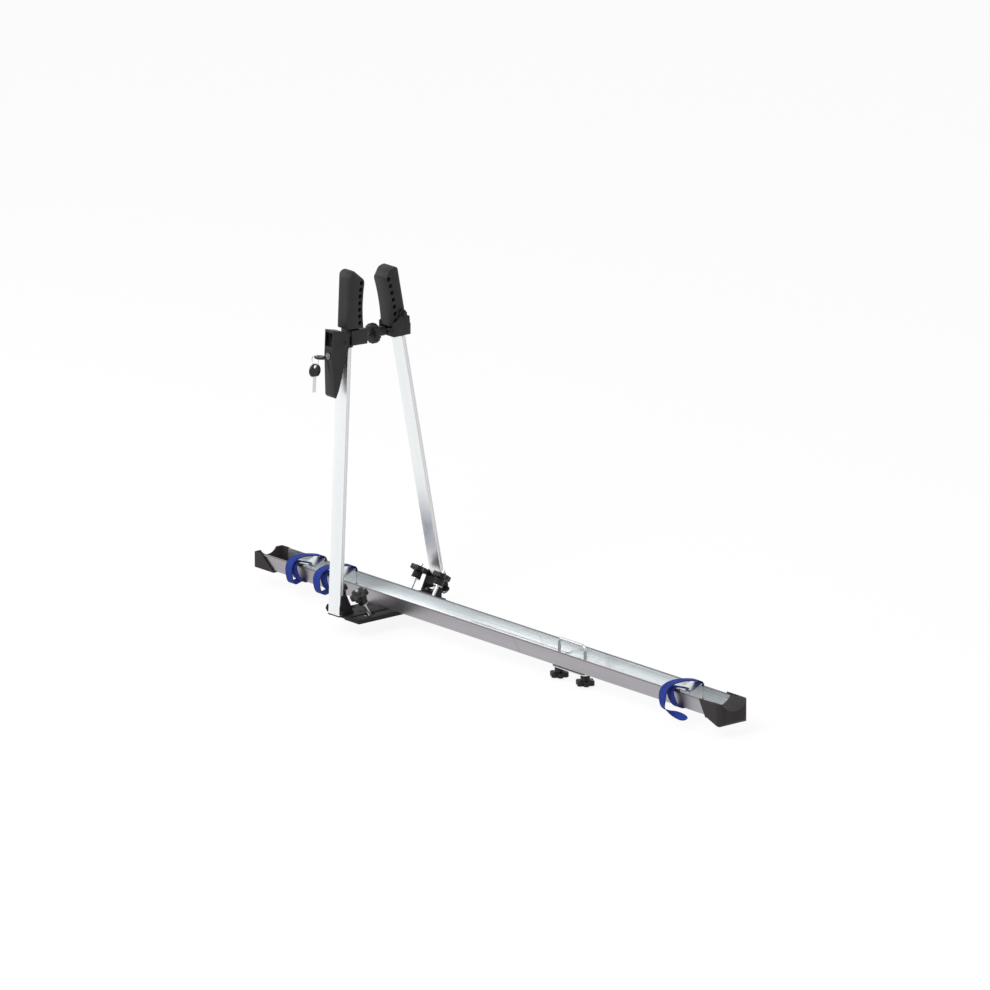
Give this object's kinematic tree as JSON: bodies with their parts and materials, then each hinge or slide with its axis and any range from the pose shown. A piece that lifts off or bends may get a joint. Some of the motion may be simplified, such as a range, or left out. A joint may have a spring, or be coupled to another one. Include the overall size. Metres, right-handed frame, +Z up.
{
  "type": "roof bike carrier",
  "caption": "Roof bike carrier: long wheel rail on a base plate, leaning arms with frame jaws, locking lever, star-knob clamps, wheel saddles and straps.",
  "frame": {"origin": "centre of the base pad's underside, where the rear roof bar lies", "axes": "+X along the rail towards its front end, +Y across the rail towards the far arm, +Z up"},
  "size_m": [1.37, 0.3184, 0.7066],
  "materials": {
    "brushed_aluminium": "extruded and anodised, satin",
    "zinc_sheet": "zinc plated sheet",
    "zinc_hardware": "zinc plated",
    "black_base": "black, fine matt",
    "jaw_rubber": "soft matt",
    "black_plastic": "moulded, fine grain",
    "knob_plastic": "moulded",
    "blue_webbing": "woven polyester webbing",
    "pad_rubber": "ribbed",
    "lock_metal": "nickel plated"
  },
  "bodies": {
    "rail": {"rail_rear": "brushed_aluminium", "rail_front": "brushed_aluminium", "rail_joiner": "zinc_sheet", "joiner_screws": "zinc_hardware", "joiner_nuts": "zinc_hardware", "front_end_cap": "black_plastic", "rear_end_cap": "black_plastic", "end_cap_rivets": "zinc_hardware", "base_plate": "black_base", "base_pad": "pad_rubber", "rail_bolts": "zinc_hardware", "rail_bolt_nuts": "zinc_hardware", "near_arm_bracket": "black_base", "far_arm_bracket": "black_base", "bracket_bolts": "zinc_hardware", "near_pivot_bolt": "zinc_hardware", "far_pivot_bolt": "zinc_hardware", "pivot_nuts": "zinc_hardware"},
    "near_arm": {"near_arm": "brushed_aluminium", "near_arm_foot": "black_plastic", "near_jaw_bracket": "black_plastic", "near_jaw": "jaw_rubber"},
    "far_arm": {"far_arm": "brushed_aluminium", "far_arm_foot": "black_plastic", "far_jaw_bracket": "black_plastic", "jaw_pivot_bolt": "zinc_hardware", "jaw_pivot_nut": "zinc_hardware"},
    "far_jaw": {"far_jaw": "jaw_rubber"},
    "rod": {"clamp_rod": "zinc_hardware", "rod_nut": "zinc_hardware", "lever_barrel": "zinc_hardware"},
    "adjuster": {"adjuster_knob": "black_plastic", "adjuster_sleeve": "black_plastic"},
    "far_barrel": {"far_barrel": "zinc_hardware"},
    "lever": {"lock_lever": "black_plastic"},
    "lock": {"lock_cylinder": "lock_metal", "lock_key": "lock_metal"},
    "spare_key": {"key_ring": "zinc_hardware", "spare_key": "lock_metal"},
    "near_u_bolt": {"near_u_bolt": "zinc_hardware", "near_clamp_washers": "zinc_hardware"},
    "far_u_bolt": {"far_u_bolt": "zinc_hardware", "far_clamp_washers": "zinc_hardware"},
    "near_rear_knob": {"near_rear_knob": "knob_plastic"},
    "near_front_knob": {"near_front_knob": "knob_plastic"},
    "far_rear_knob": {"far_rear_knob": "knob_plastic"},
    "far_front_knob": {"far_front_knob": "knob_plastic"},
    "front_u_bolt": {"front_u_bolt": "zinc_hardware", "front_clamp_washers": "zinc_hardware"},
    "clamp_plate": {"clamp_plate": "zinc_sheet"},
    "front_clamp_rear_knob": {"front_clamp_rear_knob": "knob_plastic"},
    "front_clamp_front_knob": {"front_clamp_front_knob": "knob_plastic"},
    "rear_saddle": {"rear_saddle": "zinc_sheet", "rear_strap": "blue_webbing"},
    "mid_saddle": {"mid_saddle": "zinc_sheet", "mid_strap": "blue_webbing"},
    "front_saddle": {"front_saddle": "zinc_sheet", "front_strap": "blue_webbing"}
  },
  "joints": [
    {"name": "far_arm_hinge", "type": "hinge", "parent": "rail", "child": "far_arm", "pos_m": [0, 0.128, 0.015], "axis": [1, 0, 0], "range_deg": [-1.2, 1.45]},
    {"name": "near_arm_hinge", "type": "hinge", "parent": "rail", "child": "near_arm", "pos_m": [0, -0.128, 0.015], "axis": [1, 0, 0], "range_deg": [-0.435, 0.36]},
    {"name": "rod_tilt", "type": "hinge", "parent": "near_arm", "child": "rod", "pos_m": [-0.02, -0.12005, 0.54278], "axis": [1, 0, 0], "range_deg": [-0.58, 0.48]},
    {"name": "far_barrel_turn", "type": "hinge", "parent": "far_arm", "child": "far_barrel", "pos_m": [-0.02, 0.02445, 0.54278], "axis": [1, 0, 0], "range_deg": [-2.46, 2.04]},
    {"name": "adjuster_spin", "type": "hinge", "parent": "far_barrel", "child": "adjuster", "pos_m": [-0.02, -0.035, 0.54278], "axis": [0, 1, 0], "continuous": true},
    {"name": "far_jaw_tilt", "type": "hinge", "parent": "far_arm", "child": "far_jaw", "pos_m": [-0.02, 0.022, 0.576], "axis": [1, 0, 0], "range_deg": [-6, 6]},
    {"name": "lever_swing", "type": "hinge", "parent": "near_arm", "child": "lever", "pos_m": [-0.02, -0.12005, 0.54278], "axis": [-1, 0, 0], "range_deg": [0, 45]},
    {"name": "lock_turn", "type": "hinge", "parent": "lever", "child": "lock", "pos_m": [-0.02, -0.14496, 0.51679], "axis": [0, -0.999, 0.0454], "range_deg": [0, 90]},
    {"name": "spare_key_swing", "type": "hinge", "parent": "lock", "child": "spare_key", "pos_m": [-0.027, -0.16993, 0.51792], "axis": [0, -0.999, 0.0454], "range_deg": [-7, 7]},
    {"name": "near_u_bolt_slide", "type": "slide", "parent": "rail", "child": "near_u_bolt", "axis": [0, -0.5225, 0.8526], "range_m": [-0.018, 0]},
    {"name": "far_u_bolt_slide", "type": "slide", "parent": "rail", "child": "far_u_bolt", "axis": [0, 0.5225, 0.8526], "range_m": [-0.027, 0]},
    {"name": "near_rear_knob_spin", "type": "hinge", "parent": "near_u_bolt", "child": "near_rear_knob", "pos_m": [-0.039, -0.10509, 0.04569], "axis": [0, -0.5225, 0.8526], "continuous": true},
    {"name": "near_front_knob_spin", "type": "hinge", "parent": "near_u_bolt", "child": "near_front_knob", "pos_m": [0.027, -0.10833, 0.05097], "axis": [0, -0.5225, 0.8526], "continuous": true},
    {"name": "far_rear_knob_spin", "type": "hinge", "parent": "far_u_bolt", "child": "far_rear_knob", "pos_m": [-0.033, 0.08969, 0.05319], "axis": [0, 0.5225, 0.8526], "continuous": true},
    {"name": "far_front_knob_spin", "type": "hinge", "parent": "far_u_bolt", "child": "far_front_knob", "pos_m": [0.033, 0.08969, 0.05319], "axis": [0, 0.5225, 0.8526], "continuous": true},
    {"name": "front_u_bolt_slide", "type": "slide", "parent": "rail", "child": "front_u_bolt", "axis": [0, 0, 1], "range_m": [-0.031, 0]},
    {"name": "clamp_plate_slide", "type": "slide", "parent": "front_u_bolt", "child": "clamp_plate", "axis": [0, 0, 1], "range_m": [0, 0.007]},
    {"name": "front_clamp_rear_knob_spin", "type": "hinge", "parent": "front_u_bolt", "child": "front_clamp_rear_knob", "pos_m": [0.486, 0, -0.016], "axis": [0, 0, -1], "continuous": true},
    {"name": "front_clamp_front_knob_spin", "type": "hinge", "parent": "front_u_bolt", "child": "front_clamp_front_knob", "pos_m": [0.561, 0, -0.016], "axis": [0, 0, -1], "continuous": true},
    {"name": "rear_saddle_slide", "type": "slide", "parent": "rail", "child": "rear_saddle", "axis": [1, 0, 0], "range_m": [-0.045, 0.022]},
    {"name": "mid_saddle_slide", "type": "slide", "parent": "rail", "child": "mid_saddle", "axis": [1, 0, 0], "range_m": [-0.022, 0.06]},
    {"name": "front_saddle_slide", "type": "slide", "parent": "rail", "child": "front_saddle", "axis": [1, 0, 0], "range_m": [-0.08, 0.05]}
  ],
  "couplings": [
    {"joint": "near_arm_hinge", "follows": "far_arm_hinge", "ratio": -0.3},
    {"joint": "rod_tilt", "follows": "far_arm_hinge", "ratio": -0.4},
    {"joint": "far_barrel_turn", "follows": "far_arm_hinge", "ratio": -1.7}
  ]
}
